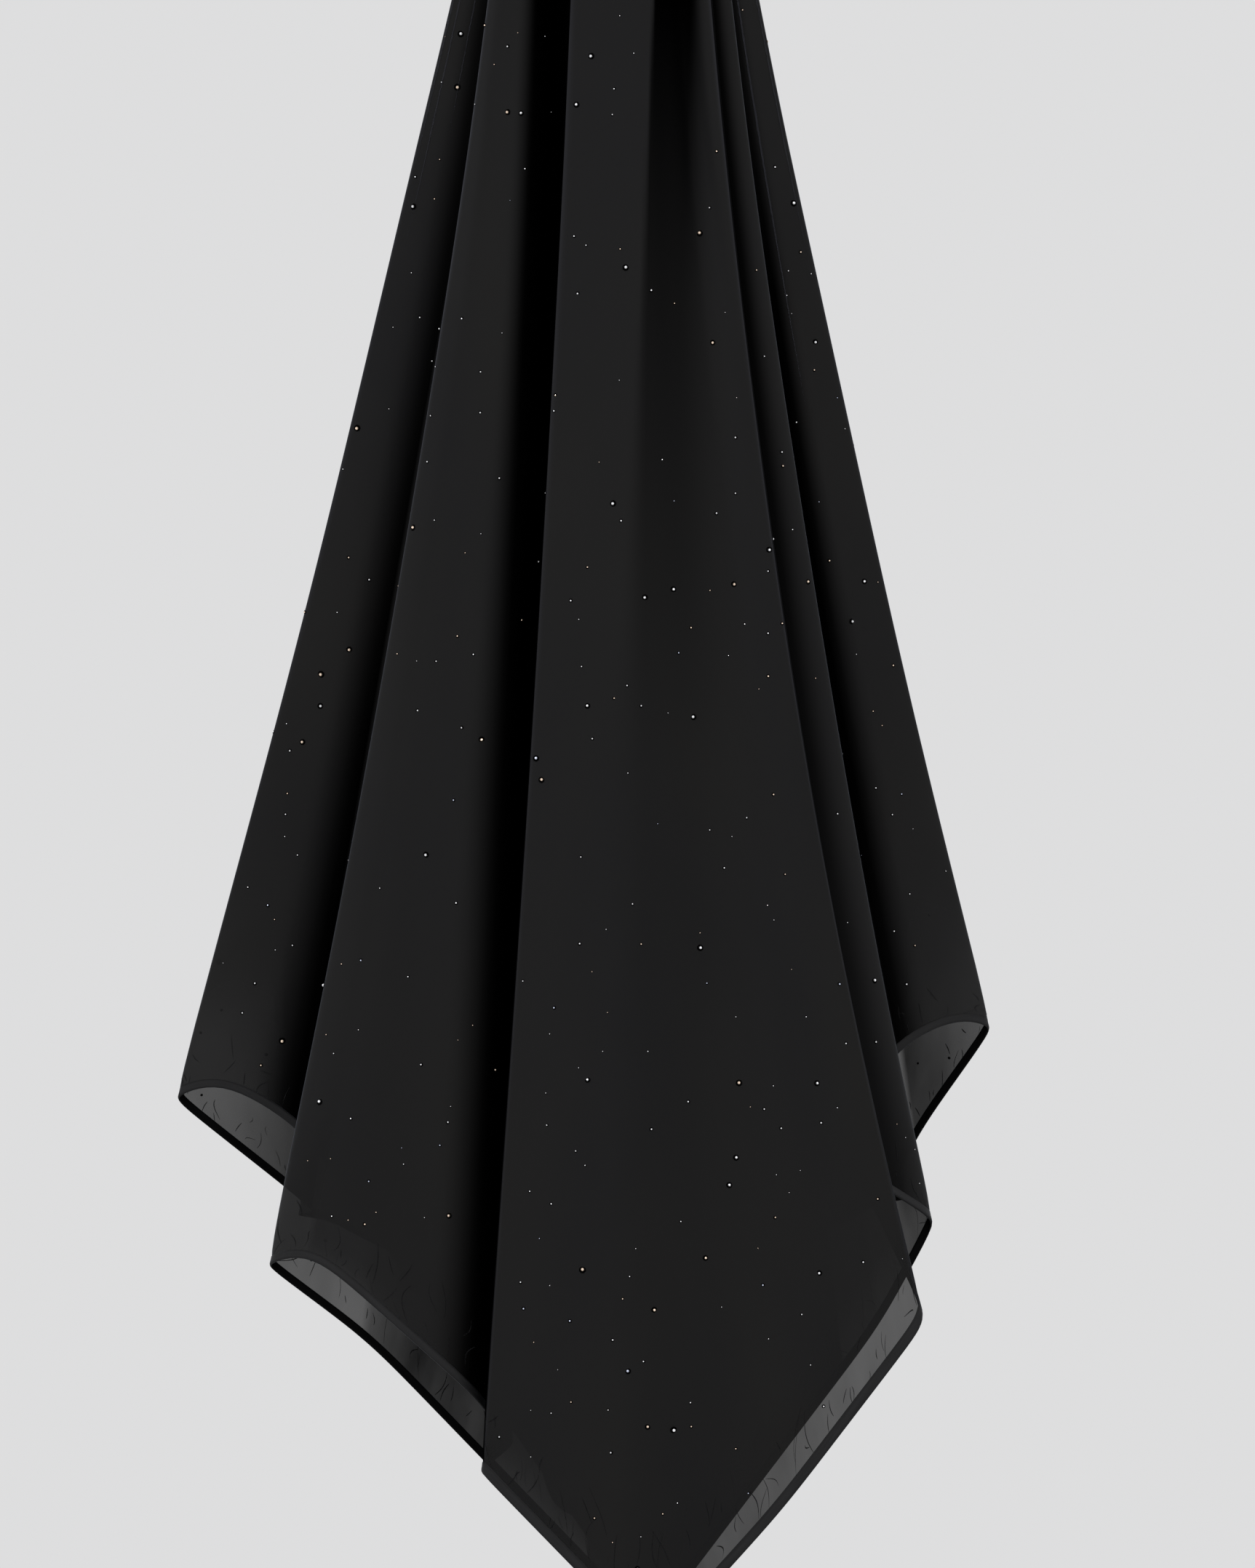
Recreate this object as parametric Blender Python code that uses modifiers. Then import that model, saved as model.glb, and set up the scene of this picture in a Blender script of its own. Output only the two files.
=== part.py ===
"""Hijab headscarf held up at the middle of its square: one cloth wall that hangs in folds, and its hem.

Metres, +Z up. The origin is the hold point, -Y is the side that is seen, +X its right.
The wall is a grid. Its columns run round the closed loop of folds and its rows run down from the hold
point. Each fold has one row in a table: where its edge lies at an upper level, at a middle level and at
the hem. A ring at any level goes from fold to fold, straight between them and round each fold's edge.
"""

import bpy
import numpy as np

MM = 0.001

# The square's cut and its rolled hem, in millimetres.
SQUARE_SIDE = 1100.0
WALL_THICKNESS = 1.0
HEM_WIDTH = 6.4
HEM_THICKNESS = 1.0
SEAM_GAP = 0.4
MITRE_GAP = 0.4

# Levels below the hold point, in millimetres, that the tables of folds refer to.
UPPER_DROP = 124.5
MIDDLE_DROP = 436.5
MEAN_HEM_DROP = 600.0
CORNER_DROP = SQUARE_SIDE / 2**0.5

# Rows turn from level at the top to parallel with the hem: this power says how late.
ROW_POWER = 3
RING_DROPS = (7, 17, 32, 50, 70, 92, UPPER_DROP, 175, 240, 310, 385, 455, 520, 570)

# The crown: above this drop the folds open out into a small round top.
CROWN_DROP = 120.0
CROWN_RADIUS = 34.0
CROWN_SLOPE = 0.2
CROWN_POWER = 3
SMOOTH_DROP = 10.0
TIGHTEST_RADIUS = 1.3

# How far down the way up from the hem is read, and the flattest angle that a hem's width is set for.
ABOVE_HEM_SHARE = 0.97
LEAST_SINE = 0.6

FOLD_COLUMNS = (
    "name", "hem_drop",
    "x_upper", "x_middle", "x_hem",
    "y_upper", "y_middle", "y_hem",
    "radius", "arc_points", "leg_points",
)

# Front corner to the left corner: the middle panel's left edge, the dark valley and the first left fold.
FRONT_LEFT_FOLDS = (
    ("corner_front", CORNER_DROP, 17.7, 13.5, 17.4, -40, -74, -88, 25.0, 3, 2),
    ("middle_left", 708.0, -15.9, -32.4, -50.7, -33, -60, -72, 3.0, 5, 1),
    ("valley_left", 697.0, -20.0, -30.0, -40.0, -9, -16, -22, 3.0, 5, 1),
    ("valley_lip", 681.0, -29.2, -37.5, -51.0, -25, -44, -52, 8.0, 3, 1),
    ("left_one_face", 621.0, -44.5, -86.0, -119.0, -16, -33, -41, 12.0, 3, 0),
    ("left_one", 627.5, -48.9, -98.1, -135.7, -9, -18, -24, 3.0, 5, 0),
    ("left_one_back", 658.0, -36.0, -70.0, -96.1, -1, -8, -14, 12.0, 1, 1),
)

# Left corner to the back: the second left fold.
BACK_LEFT_FOLDS = (
    ("corner_left", 777.0, 6.0, 24.0, 22.0, 7, 8, 8, 3.0, 5, 1),
    ("left_two_face", 573.6, -45.0, -100.0, -123.3, 12, 22, 26, 12.0, 1, 0),
    ("left_two_rise", 554.0, -57.0, -126.0, -156.0, 13, 24, 29, 12.0, 1, 0),
    ("left_two", 562.0, -63.7, -140.7, -173.7, 17, 29, 35, 3.0, 5, 1),
    ("left_two_back", 608.0, -42.0, -97.0, -118.0, 25, 50, 60, 6.0, 3, 1),
)

# Back to the right corner: the outermost right fold.
BACK_RIGHT_FOLDS = (
    ("right_three_back", 601.0, 41.0, 92.0, 112.0, 25, 50, 60, 6.0, 3, 0),
    ("right_three_turn", 578.0, 46.0, 101.0, 122.0, 19, 42, 50, 6.0, 1, 0),
    ("right_three", 534.0, 59.9, 128.2, 151.7, 9, 22, 28, 3.0, 5, 0),
    ("right_three_rise", 528.5, 54.5, 117.0, 139.5, 5, 16, 20, 12.0, 1, 0),
    ("right_three_face", 541.0, 45.0, 94.0, 114.0, 0, 7, 9, 12.0, 1, 1),
)

# Right corner to the front corner: the second right fold and the middle panel's right edge.
FRONT_RIGHT_FOLDS = (
    ("inner_right_back", 630.0, 22.0, 42.0, 60.0, -3, -3, -4, 3.0, 5, 1),
    ("inner_right", 665.0, 34.0, 66.0, 93.0, -5.5, -7.5, -8, 3.0, 5, 1),
    ("corner_right", CORNER_DROP, 4.0, 4.0, 12.0, -15, -25, -30, 3.0, 5, 1),
    ("right_two_back", 652.0, 40.0, 76.0, 106.8, -9, -13, -15, 12.0, 1, 0),
    ("right_two", 611.0, 48.6, 94.4, 128.5, -8, -11, -12, 3.0, 5, 1),
    ("valley_right", 590.0, 34.0, 70.0, 98.0, -20, -36, -42, 2.5, 5, 1),
    ("middle_right", 648.6, 39.9, 79.9, 123.9, -33, -58, -66, 3.0, 5, 2),
    ("middle_trough", 722.5, 27.0, 49.0, 68.0, -27, -66, -79, 12.0, 3, 2),
)

# The back's pleats, left to right: how far along the back each crest stands, from 0 to 1, how deep
# the crest and the valley after it lie at the hem, and how round they are. The corner's pleat hangs
# lowest, and the power says how fast the hem rises away from it.
# Columns: share, crest_y, valley_share, valley_y, radius.
BACK_PLEATS = (
    (0.07, 138, 0.155, 66, 7.0),
    (0.23, 160, 0.300, 70, 6.5),
    (0.37, 152, 0.445, 62, 6.0),
    (0.51, 172, 0.585, 68, 7.0),
    (0.66, 158, 0.725, 72, 6.0),
    (0.79, 163, 0.860, 64, 6.5),
    (0.93, 136, None, None, 6.5),
)
CORNER_PLEAT = 3
CORNER_BACK_DROP = 766.0
CORNER_POWER = 1.7
DEPTH_SHARES = (("upper", 0.36), ("middle", 0.82), ("hem", 1.0))
PLEAT_FAN = 0.6
FAN_START_Y = 60.0
PLEAT_ARC_POINTS = 5

CLOTH_COLOUR = (0.012, 0.012, 0.013, 1.0)
HEM_COLOUR = (0.007, 0.007, 0.008, 1.0)

HEMS = (
    ("hem_front_left", "corner_front", "corner_left"),
    ("hem_back_left", "corner_left", "corner_back"),
    ("hem_back_right", "corner_back", "corner_right"),
    ("hem_front_right", "corner_right", "corner_front"),
)


def value(fold, name):
    """One value of a fold's row."""
    return fold[FOLD_COLUMNS.index(name)]


def pleat_row(name, share, y_hem, radius):
    """A row for one crest or valley of the back, between the edges that the side folds give it."""
    left, right = BACK_LEFT_FOLDS[-1], BACK_RIGHT_FOLDS[0]
    corner_share = BACK_PLEATS[CORNER_PLEAT][0]
    on_left = share < corner_share
    end_drop = value(left if on_left else right, "hem_drop")
    nearness = 1.0 - abs(share - corner_share) / (corner_share if on_left else 1.0 - corner_share)
    hem_drop = end_drop + (CORNER_BACK_DROP - end_drop) * nearness**CORNER_POWER
    fan = PLEAT_FAN * (share - 0.5) * (y_hem - FAN_START_Y)
    row = [name, hem_drop]
    for level, depth_share in DEPTH_SHARES:
        start, end = value(left, f"x_{level}"), value(right, f"x_{level}")
        row.append(start + share * (end - start) + depth_share * fan)
    row += [depth_share * y_hem for _, depth_share in DEPTH_SHARES]
    return (*row, radius, PLEAT_ARC_POINTS, 0)


def back_pleats():
    """Rows for the back's crests and valleys, left to right."""
    rows = []
    for index, pleat in enumerate(BACK_PLEATS):
        share, crest_y, valley_share, valley_y, radius = pleat
        name = "corner_back" if index == CORNER_PLEAT else f"crest_{index}"
        rows.append(pleat_row(name, share, crest_y, radius))
        if valley_share is not None:
            rows.append(pleat_row(f"valley_{index}", valley_share, valley_y, radius))
    return tuple(rows)


FOLDS = FRONT_LEFT_FOLDS + BACK_LEFT_FOLDS + back_pleats() + BACK_RIGHT_FOLDS + FRONT_RIGHT_FOLDS


def column(name):
    """One column of the table of folds, as an array with a value for each fold."""
    return np.array([fold[FOLD_COLUMNS.index(name)] for fold in FOLDS], float)


def drop_of(hem_drop, share):
    """Drop at a share of the way down, 0 at the hold point and 1 at the hem."""
    return MEAN_HEM_DROP * share + (hem_drop - MEAN_HEM_DROP) * share**ROW_POWER


def along_fold(axis, drop):
    """Place of each fold's edge at its drop: the parabola through its three known places."""
    upper, middle, hem = (column(f"{axis}_{level}") for level in ("upper", "middle", "hem"))
    end = column("hem_drop")
    return (
        upper * (drop - MIDDLE_DROP) * (drop - end) / ((UPPER_DROP - MIDDLE_DROP) * (UPPER_DROP - end))
        + middle * (drop - UPPER_DROP) * (drop - end) / ((MIDDLE_DROP - UPPER_DROP) * (MIDDLE_DROP - end))
        + hem * (drop - UPPER_DROP) * (drop - MIDDLE_DROP) / ((end - UPPER_DROP) * (end - MIDDLE_DROP))
    )


def unit(vectors):
    return vectors / np.linalg.norm(vectors, axis=-1, keepdims=True)


def ring(share):
    """Points of the loop at one share of the way down, in millimetres, and the columns of the folds' edges."""
    drop = drop_of(column("hem_drop"), share)
    place = np.stack([along_fold("x", drop), along_fold("y", drop)], axis=-1)
    to_last = unit(np.roll(place, 1, axis=0) - place)
    to_next = unit(np.roll(place, -1, axis=0) - place)
    outward = unit(-(to_last + to_next))
    along = unit(to_next - np.sum(to_next * outward, axis=-1, keepdims=True) * outward)
    half_angle = 0.5 * np.arccos(np.clip(np.sum(to_last * to_next, axis=-1), -1.0, 1.0))
    sweep = 0.5 * np.pi - half_angle
    radius = TIGHTEST_RADIUS + (column("radius") - TIGHTEST_RADIUS) * drop / MEAN_HEM_DROP
    centre = place - radius[:, None] * outward
    counts, legs = column("arc_points"), column("leg_points")

    points, edges, arcs = [], {}, []
    for index in range(len(FOLDS)):
        count = int(counts[index])
        turn = np.linspace(-1.0, 1.0, count) * sweep[index] if count > 1 else np.zeros(1)
        offset = np.cos(turn)[:, None] * outward[index] + np.sin(turn)[:, None] * along[index]
        flat = centre[index] + radius[index] * offset
        arcs.append(np.column_stack([flat, np.full(count, drop[index])]))
    for index, arc in enumerate(arcs):
        following = arcs[(index + 1) % len(arcs)]
        edges[FOLDS[index][0]] = sum(len(block) for block in points) + len(arc) // 2
        points.append(arc)
        steps = np.arange(1, int(legs[index]) + 1)[:, None] / (legs[index] + 1)
        points.append(arc[-1] + steps * (following[0] - arc[-1]))
    points = np.concatenate(points)
    return crowned(points), edges


def crowned(points):
    """The ring drawn in near the hold point: its folds fade into a round section that closes above."""
    flat, drop = points[:, :2], points[:, 2]
    angle = np.linspace(0.0, 2.0 * np.pi, len(points), endpoint=False)
    rise = np.clip(drop / CROWN_DROP, 0.0, 1.0)
    closing = (1.0 - (1.0 - rise) ** CROWN_POWER)[:, None]
    below = np.clip((drop - SMOOTH_DROP) / (CROWN_DROP - SMOOTH_DROP), 0.0, 1.0)
    gather = (below**2 * (3.0 - 2.0 * below))[:, None]
    radius = (CROWN_RADIUS + CROWN_SLOPE * drop)[:, None]
    smooth = -radius * np.column_stack([np.sin(angle), np.cos(angle)])
    return np.column_stack([closing * (gather * flat + (1.0 - gather) * smooth), -drop])


def hem_lines():
    """The hem's edge, the steps up the cloth that lie one millimetre further from it, and the columns."""
    hem, edges = ring(1.0)
    above, _ = ring(ABOVE_HEM_SHARE)
    up = unit(above - hem)
    along = unit(np.roll(hem, -1, axis=0) - np.roll(hem, 1, axis=0))
    sine = np.linalg.norm(np.cross(along, up), axis=-1, keepdims=True)
    return hem, up / np.clip(sine, LEAST_SINE, 1.0), edges


def add_object(name, vertices, faces, thickness, material, collection):
    """A named object: an open surface and the wall thickness round it."""
    mesh = bpy.data.meshes.new(name)
    mesh.from_pydata((vertices * MM).tolist(), [], faces)
    mesh.materials.append(material)
    mesh.shade_smooth()
    wall = bpy.data.objects.new(name, mesh)
    solidify = wall.modifiers.new("wall", "SOLIDIFY")
    solidify.thickness = thickness * MM
    solidify.offset = 0.0
    solidify.use_even_offset = True
    solidify.use_quality_normals = True
    collection.objects.link(wall)
    return wall


def make_cloth(material, collection):
    """The square's wall: a point at the hold, then ring after ring down to just above the hem."""
    rings = [ring(drop / MEAN_HEM_DROP)[0] for drop in RING_DROPS]
    hem, up, _ = hem_lines()
    rings.append(hem + (HEM_WIDTH + SEAM_GAP) * up)
    vertices = np.concatenate([np.zeros((1, 3))] + rings)
    count = len(hem)
    here = np.arange(count)
    after = (here + 1) % count
    faces = [(0, 1 + b, 1 + a) for a, b in zip(here.tolist(), after.tolist())]
    for row in range(len(rings) - 1):
        top, low = 1 + row * count, 1 + (row + 1) * count
        quads = np.column_stack([top + here, top + after, low + after, low + here])
        faces.extend(quads.tolist())
    add_object("cloth", vertices, faces, WALL_THICKNESS, material, collection)


def make_hem(name, start, end, material, collection):
    """The rolled hem along one side of the square, mitred at both corners."""
    hem, up, edges = hem_lines()
    count = len(hem)
    first, last = edges[start], edges[end]
    if last <= first:
        last += count
    picked = np.arange(first, last + 1) % count
    low, high = hem[picked], (hem + HEM_WIDTH * up)[picked]
    for line in (low, high):
        line[0] += MITRE_GAP * unit(line[1] - line[0])
        line[-1] += MITRE_GAP * unit(line[-2] - line[-1])
    length = len(picked)
    here = np.arange(length - 1)
    quads = np.column_stack([here, here + 1, length + here + 1, length + here])
    add_object(name, np.concatenate([high, low]), quads.tolist(), HEM_THICKNESS, material, collection)


def make_material(name, colour, roughness):
    material = bpy.data.materials.new(name)
    material.use_nodes = True
    shader = material.node_tree.nodes["Principled BSDF"]
    shader.inputs["Base Color"].default_value = colour
    shader.inputs["Roughness"].default_value = roughness
    shader.inputs["Metallic"].default_value = 0.0
    return material


def main():
    for leftover in list(bpy.data.objects):
        bpy.data.objects.remove(leftover)
    collection = bpy.data.collections.new("hijab_headscarf")
    bpy.context.scene.collection.children.link(collection)
    make_cloth(make_material("chiffon_black", CLOTH_COLOUR, 0.65), collection)
    for name, start, end in HEMS:
        material = make_material(f"{name}_black", HEM_COLOUR, 0.6)
        make_hem(name, start, end, material, collection)


main()
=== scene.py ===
"""Looks of the hijab headscarf: a black chiffon square held up at its middle, its rolled hems and its stones.

Metres, +Z up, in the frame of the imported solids: the origin is the hold point and -Y is the side seen.
"""

import math

import bpy
import numpy as np
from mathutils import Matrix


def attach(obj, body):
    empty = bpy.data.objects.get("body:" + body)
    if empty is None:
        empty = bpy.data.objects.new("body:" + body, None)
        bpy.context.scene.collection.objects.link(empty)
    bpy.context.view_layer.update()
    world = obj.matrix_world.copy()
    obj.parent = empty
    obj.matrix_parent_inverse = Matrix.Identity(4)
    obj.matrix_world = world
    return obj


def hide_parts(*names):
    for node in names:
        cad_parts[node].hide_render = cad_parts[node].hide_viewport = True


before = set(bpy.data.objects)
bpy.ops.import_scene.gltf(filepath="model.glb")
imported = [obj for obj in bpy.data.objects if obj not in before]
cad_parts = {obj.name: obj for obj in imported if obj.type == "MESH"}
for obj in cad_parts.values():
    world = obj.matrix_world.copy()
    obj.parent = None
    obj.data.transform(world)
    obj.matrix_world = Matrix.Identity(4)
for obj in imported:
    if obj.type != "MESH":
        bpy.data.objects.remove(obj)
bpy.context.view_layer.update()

bl_info = {
    "name": "Hijab headscarf",
    "version": (1, 0, 0),
    "blender": (4, 5, 0),
    "location": "View3D > Sidebar > Headscarf",
    "description": "Makes a square chiffon headscarf that hangs from its middle, its hems, stones and stage",
    "category": "Add Mesh",
}

MM = 0.001
BODY = "root"

# Levels below the hold point, in millimetres, that the tables of folds refer to.
UPPER_DROP = 124.5
MIDDLE_DROP = 436.5
MEAN_HEM_DROP = 600.0
ROW_POWER = 3

# The crown: above this drop the folds open out into a small round top.
CROWN_DROP = 120.0
CROWN_RADIUS = 34.0
CROWN_SLOPE = 0.2
CROWN_POWER = 3
SMOOTH_DROP = 10.0
TIGHTEST_RADIUS = 1.3

FOLD_COLUMNS = (
    "name", "hem_drop", "x_upper", "x_middle", "x_hem", "y_upper", "y_middle", "y_hem", "radius", "kind",
)
CORNER_DROP = 777.8

# Front corner to the left corner: the middle panel's left edge, the dark valley and the first left fold.
FRONT_LEFT_FOLDS = (
    ("corner_front", CORNER_DROP, 17.7, 13.5, 17.4, -40, -74, -88, 25.0, "bend"),
    ("middle_left", 708.0, -15.9, -32.4, -50.7, -33, -60, -72, 3.0, "fold"),
    ("valley_left", 697.0, -20.0, -30.0, -40.0, -9, -16, -22, 3.0, "fold"),
    ("valley_lip", 681.0, -29.2, -37.5, -51.0, -25, -44, -52, 8.0, "bend"),
    ("left_one_face", 621.0, -44.5, -86.0, -119.0, -16, -33, -41, 12.0, "bend"),
    ("left_one", 627.5, -48.9, -98.1, -135.7, -9, -18, -24, 3.0, "fold"),
    ("left_one_back", 658.0, -36.0, -70.0, -96.1, -1, -8, -14, 12.0, "bend"),
)

# Left corner to the back: the second left fold.
BACK_LEFT_FOLDS = (
    ("corner_left", 780.0, 6.0, 24.0, 19.0, 7, 8, 8, 3.0, "fold"),
    ("left_two_face", 573.6, -45.0, -100.0, -123.3, 12, 22, 26, 12.0, "bend"),
    ("left_two_rise", 554.0, -57.0, -126.0, -156.0, 13, 24, 29, 12.0, "bend"),
    ("left_two", 562.0, -63.7, -140.7, -173.7, 17, 29, 35, 3.0, "fold"),
    ("left_two_back", 608.0, -42.0, -97.0, -118.0, 25, 50, 60, 6.0, "bend"),
)

# Back to the right corner: the outermost right fold.
BACK_RIGHT_FOLDS = (
    ("right_three_back", 601.0, 41.0, 92.0, 112.0, 25, 50, 60, 6.0, "bend"),
    ("right_three_turn", 578.0, 46.0, 101.0, 122.0, 19, 42, 50, 6.0, "bend"),
    ("right_three", 534.0, 59.9, 128.2, 151.7, 9, 22, 28, 3.0, "fold"),
    ("right_three_rise", 528.5, 54.5, 117.0, 139.5, 5, 16, 20, 12.0, "bend"),
    ("right_three_face", 541.0, 45.0, 94.0, 114.0, 0, 7, 9, 12.0, "bend"),
)

# Right corner to the front corner: the second right fold and the middle panel's right edge.
FRONT_RIGHT_FOLDS = (
    ("inner_right_back", 630.0, 22.0, 42.0, 60.0, -3, -3, -4, 3.0, "fold"),
    ("inner_right", 665.0, 34.0, 66.0, 93.0, -5.5, -7.5, -8, 3.0, "fold"),
    ("corner_right", CORNER_DROP, 4.0, 4.0, 12.0, -15, -25, -30, 3.0, "fold"),
    ("right_two_back", 652.0, 40.0, 76.0, 106.8, -9, -13, -15, 12.0, "bend"),
    ("right_two", 611.0, 48.6, 94.4, 128.5, -8, -11, -12, 3.0, "fold"),
    ("valley_right", 590.0, 34.0, 70.0, 98.0, -20, -36, -42, 2.5, "fold"),
    ("middle_right", 648.6, 39.9, 79.9, 123.9, -33, -58, -66, 3.0, "fold"),
    ("middle_trough", 722.5, 27.0, 49.0, 68.0, -27, -66, -79, 12.0, "bend"),
)

# The back's pleats, left to right: how far along the back each crest stands, from 0 to 1, how deep
# the crest and the valley after it lie at the hem, and how round they are.
# Columns: share, crest_y, valley_share, valley_y, radius.
BACK_PLEATS = (
    (0.07, 138, 0.155, 66, 7.0),
    (0.23, 160, 0.300, 70, 6.5),
    (0.37, 152, 0.445, 62, 6.0),
    (0.51, 172, 0.585, 68, 7.0),
    (0.66, 158, 0.725, 72, 6.0),
    (0.79, 163, 0.860, 64, 6.5),
    (0.93, 136, None, None, 6.5),
)
CORNER_PLEAT = 3
CORNER_BACK_DROP = 766.0
CORNER_POWER = 1.9
DEPTH_SHARES = (("upper", 0.36), ("middle", 0.82), ("hem", 1.0))
PLEAT_FAN = 0.6
FAN_START_Y = 60.0

# How finely the cloth's grid follows its folds.
ROWS = 116
FOLD_POINTS = 9
BEND_POINTS = 1
LEG_STEP = 5.2
SOFTENING_PASSES = 7
HEM_PASSES = 8
HEM_SHARE = 0.975
TOP_SHARE = 0.004

# The four hems: node, corner fold it starts at, corner fold it ends at.
HEMS = (
    ("hem_front_left", "corner_front", "corner_left"),
    ("hem_back_left", "corner_left", "corner_back"),
    ("hem_back_right", "corner_back", "corner_right"),
    ("hem_front_right", "corner_right", "corner_front"),
)


class ScarfCut(bpy.types.PropertyGroup):
    """Sizes of the scarf's cut and of what is sewn and set on it."""

    side: bpy.props.FloatProperty(
        name="Side", description="Side of the square that the scarf is cut to", default=1.10, unit="LENGTH"
    )
    hem_width: bpy.props.FloatProperty(
        name="Hem width", description="Width of the rolled hem", default=0.0064, unit="LENGTH"
    )
    hem_thickness: bpy.props.FloatProperty(
        name="Hem thickness",
        description="Thickness of the rolled hem at its middle",
        default=0.0011,
        unit="LENGTH",
    )
    panel_hem: bpy.props.FloatProperty(
        name="Panel hem",
        description="Share of its width that the hem shows on the middle panel",
        default=0.66,
        subtype="FACTOR",
    )
    folded_hem: bpy.props.FloatProperty(
        name="Folded hem",
        description="Share of its width that the hem shows in the side folds",
        default=0.52,
        subtype="FACTOR",
    )
    stones: bpy.props.IntProperty(
        name="Stones",
        description="How many stones lie on the whole scarf",
        default=2600,
    )
    stone_spacing: bpy.props.FloatProperty(
        name="Stone spacing", description="Least distance between two stones", default=0.0055, unit="LENGTH"
    )
    stone_radius: bpy.props.FloatProperty(
        name="Stone radius",
        description="Radius of the largest stones with their settings",
        default=0.0015,
        unit="LENGTH",
    )
    large_share: bpy.props.FloatProperty(
        name="Large share", description="Share of the stones that are large", default=0.17, subtype="FACTOR"
    )
    creases: bpy.props.IntProperty(
        name="Creases",
        description="How many hairline creases rise from the hem",
        default=620,
    )
    seed: bpy.props.IntProperty(
        name="Seed",
        description="Seed that scatters the stones and creases",
        default=11,
    )


class ScarfLook(bpy.types.PropertyGroup):
    """Colours and sheerness of the scarf."""

    chiffon: bpy.props.FloatVectorProperty(
        name="Chiffon", description="Colour of the cloth", subtype="COLOR", default=(0.0086, 0.0086, 0.0096)
    )
    chiffon_warm: bpy.props.FloatVectorProperty(
        name="Warm chiffon",
        description="Colour of its warmer patches",
        subtype="COLOR",
        default=(0.0116, 0.0113, 0.0107),
    )
    cover: bpy.props.FloatProperty(
        name="Cover",
        description="Share of the light that one layer stops near the hem",
        default=0.88,
        subtype="FACTOR",
    )
    high_cover: bpy.props.FloatProperty(
        name="High cover",
        description="Share of the light that one layer stops where it is gathered higher up",
        default=0.972,
        subtype="FACTOR",
    )
    # Painted highlight: colour of the fold edges and pleat lines where they catch the light.
    rim_highlight: bpy.props.FloatVectorProperty(
        name="Rim",
        description="Colour of the light edges of the folds",
        subtype="COLOR",
        default=(0.036, 0.037, 0.046),
    )
    crease: bpy.props.FloatVectorProperty(
        name="Crease",
        description="Colour of the hairline creases",
        subtype="COLOR",
        default=(0.0092, 0.0092, 0.0098),
    )
    hem: bpy.props.FloatVectorProperty(
        name="Hem", description="Colour of the rolled hem", subtype="COLOR", default=(0.0092, 0.0092, 0.0100)
    )
    stone: bpy.props.FloatVectorProperty(
        name="Stone", description="Colour of the stones", subtype="COLOR", default=(0.86, 0.86, 0.90)
    )
    # Painted light: the stones glow of themselves so that they read as glinting.
    glint_glow: bpy.props.FloatProperty(
        name="Sparkle", description="How strongly the stones shine of themselves", default=0.25
    )
    # Near black of the settings, which also paints the stones' contact shadows.
    setting_and_shadow: bpy.props.FloatVectorProperty(
        name="Setting",
        description="Colour of the stones' settings",
        subtype="COLOR",
        default=(0.0005, 0.0005, 0.0005),
    )


class StageLook(bpy.types.PropertyGroup):
    """The camera's frame, the backdrop and the lights."""

    frame_centre: bpy.props.FloatVectorProperty(
        name="Frame centre",
        description="Point at the middle of the picture",
        default=(0.0068, 0.0, -0.4365),
        unit="LENGTH",
    )
    frame_height: bpy.props.FloatProperty(
        name="Frame height", description="Height that the picture takes in", default=0.6240, unit="LENGTH"
    )
    distance: bpy.props.FloatProperty(
        name="Distance", description="From the camera to the scarf", default=8.0, unit="LENGTH"
    )
    backdrop: bpy.props.FloatVectorProperty(
        name="Backdrop", description="Colour round the scarf", subtype="COLOR", default=(0.73, 0.73, 0.735)
    )
    floor: bpy.props.FloatVectorProperty(
        name="Floor", description="Colour of the floor", subtype="COLOR", default=(0.70, 0.70, 0.70)
    )
    floor_drop: bpy.props.FloatProperty(
        name="Floor drop",
        description="How far the floor lies below the hold point",
        default=1.05,
        unit="LENGTH",
    )


def value(fold, name):
    """One value of a fold's row."""
    return fold[FOLD_COLUMNS.index(name)]


def pleat_row(name, share, y_hem, radius):
    """A row for one crest or valley of the back, between the edges that the side folds give it."""
    left, right = BACK_LEFT_FOLDS[-1], BACK_RIGHT_FOLDS[0]
    corner_share = BACK_PLEATS[CORNER_PLEAT][0]
    on_left = share < corner_share
    end_drop = value(left if on_left else right, "hem_drop")
    nearness = 1.0 - abs(share - corner_share) / (corner_share if on_left else 1.0 - corner_share)
    hem_drop = end_drop + (CORNER_BACK_DROP - end_drop) * nearness**CORNER_POWER
    fan = PLEAT_FAN * (share - 0.5) * (y_hem - FAN_START_Y)
    row = [name, hem_drop]
    for level, depth_share in DEPTH_SHARES:
        start, end = value(left, f"x_{level}"), value(right, f"x_{level}")
        row.append(start + share * (end - start) + depth_share * fan)
    row += [depth_share * y_hem for _, depth_share in DEPTH_SHARES]
    return (*row, radius, "fold")


def back_pleats():
    """Rows for the back's crests and valleys, left to right."""
    rows = []
    for index, (share, crest_y, valley_share, valley_y, radius) in enumerate(BACK_PLEATS):
        name = "corner_back" if index == CORNER_PLEAT else f"crest_{index}"
        rows.append(pleat_row(name, share, crest_y, radius))
        if valley_share is not None:
            rows.append(pleat_row(f"valley_{index}", valley_share, valley_y, radius))
    return tuple(rows)


FOLDS = FRONT_LEFT_FOLDS + BACK_LEFT_FOLDS + back_pleats() + BACK_RIGHT_FOLDS + FRONT_RIGHT_FOLDS


def column(name):
    """One column of the table of folds, as an array with a value for each fold."""
    return np.array([value(fold, name) for fold in FOLDS], float)


def unit(vectors):
    """The vectors at length one."""
    return vectors / np.maximum(np.linalg.norm(vectors, axis=-1, keepdims=True), 1e-12)


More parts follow.
